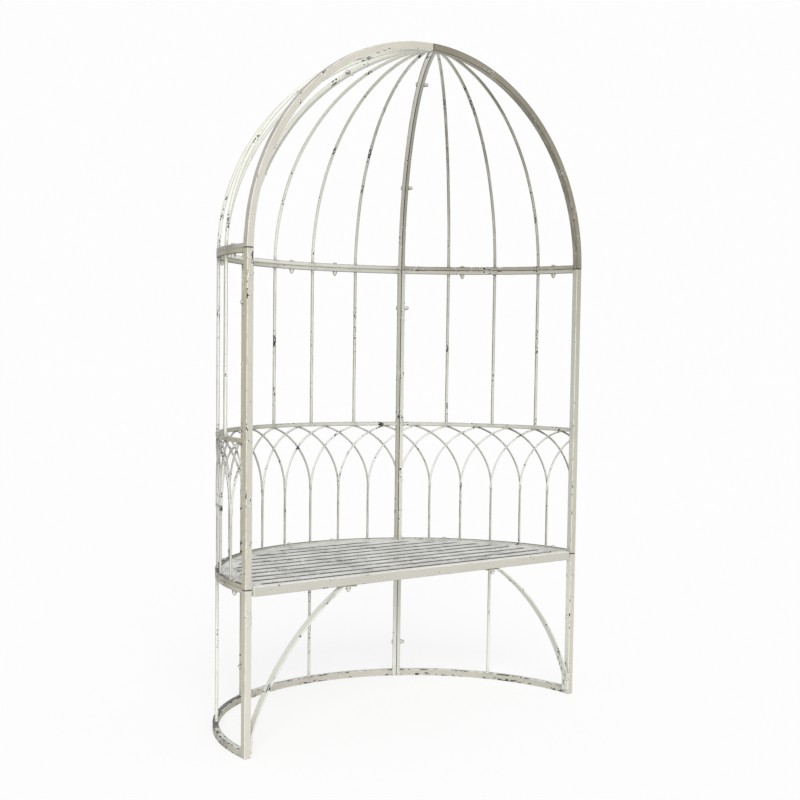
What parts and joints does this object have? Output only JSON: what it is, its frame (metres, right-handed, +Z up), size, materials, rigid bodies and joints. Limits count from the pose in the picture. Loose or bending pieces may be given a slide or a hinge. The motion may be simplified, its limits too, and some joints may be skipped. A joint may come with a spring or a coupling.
{
  "type": "arbour seat",
  "caption": "Half-round birdcage garden arbour of painted steel rods with a domed top, a lattice back of crossing arches and a slatted seat.",
  "frame": {"origin": "on the ground, under the middle of the bounding box", "axes": "+X to the right of someone who faces the open front, +Y from the open front to the round back, +Z up"},
  "size_m": [1.21, 0.613, 1.9502],
  "materials": {
    "cage_paint": "worn antique cream paint, satin",
    "dome_paint": "worn antique cream paint with brown rubs, satin",
    "seat_paint": "worn antique cream paint with grey streaks, satin",
    "fastener_paint": "cream paint, satin"
  },
  "bodies": {
    "root": {"brace_left": "cage_paint", "brace_nut_left": "fastener_paint", "brace_nut_right": "fastener_paint", "brace_right": "cage_paint", "brace_screw_left": "fastener_paint", "brace_screw_right": "fastener_paint", "dome_panel_back": "dome_paint", "dome_panel_left": "dome_paint", "dome_panel_right": "dome_paint", "dome_seam_1_left_bolt": "fastener_paint", "dome_seam_1_left_nut": "fastener_paint", "dome_seam_1_right_bolt": "fastener_paint", "dome_seam_1_right_nut": "fastener_paint", "dome_seam_2_left_bolt": "fastener_paint", "dome_seam_2_left_nut": "fastener_paint", "dome_seam_2_right_bolt": "fastener_paint", "dome_seam_2_right_nut": "fastener_paint", "low_panel_back": "cage_paint", "low_panel_left": "cage_paint", "low_panel_right": "cage_paint", "low_seam_left_bolt": "fastener_paint", "low_seam_left_nut": "fastener_paint", "low_seam_right_bolt": "fastener_paint", "low_seam_right_nut": "fastener_paint", "ring_1_left_bolt": "fastener_paint", "ring_1_left_nut": "fastener_paint", "ring_1_right_bolt": "fastener_paint", "ring_1_right_nut": "fastener_paint", "ring_2_left_bolt": "fastener_paint", "ring_2_left_nut": "fastener_paint", "ring_2_right_bolt": "fastener_paint", "ring_2_right_nut": "fastener_paint", "ring_3_left_bolt": "fastener_paint", "ring_3_left_nut": "fastener_paint", "ring_3_right_bolt": "fastener_paint", "ring_3_right_nut": "fastener_paint", "seat": "seat_paint", "seat_rail_1_left_bolt": "fastener_paint", "seat_rail_1_left_nut": "fastener_paint", "seat_rail_1_right_bolt": "fastener_paint", "seat_rail_1_right_nut": "fastener_paint", "seat_rail_2_left_bolt": "fastener_paint", "seat_rail_2_left_nut": "fastener_paint", "seat_rail_2_right_bolt": "fastener_paint", "seat_rail_2_right_nut": "fastener_paint", "seat_rail_3_left_bolt": "fastener_paint", "seat_rail_3_left_nut": "fastener_paint", "seat_rail_3_right_bolt": "fastener_paint", "seat_rail_3_right_nut": "fastener_paint", "tall_panel_back": "cage_paint", "tall_panel_left": "cage_paint", "tall_panel_right": "cage_paint", "tall_seam_left_bolt": "fastener_paint", "tall_seam_left_nut": "fastener_paint", "tall_seam_right_bolt": "fastener_paint", "tall_seam_right_nut": "fastener_paint"}
  },
  "joints": []
}
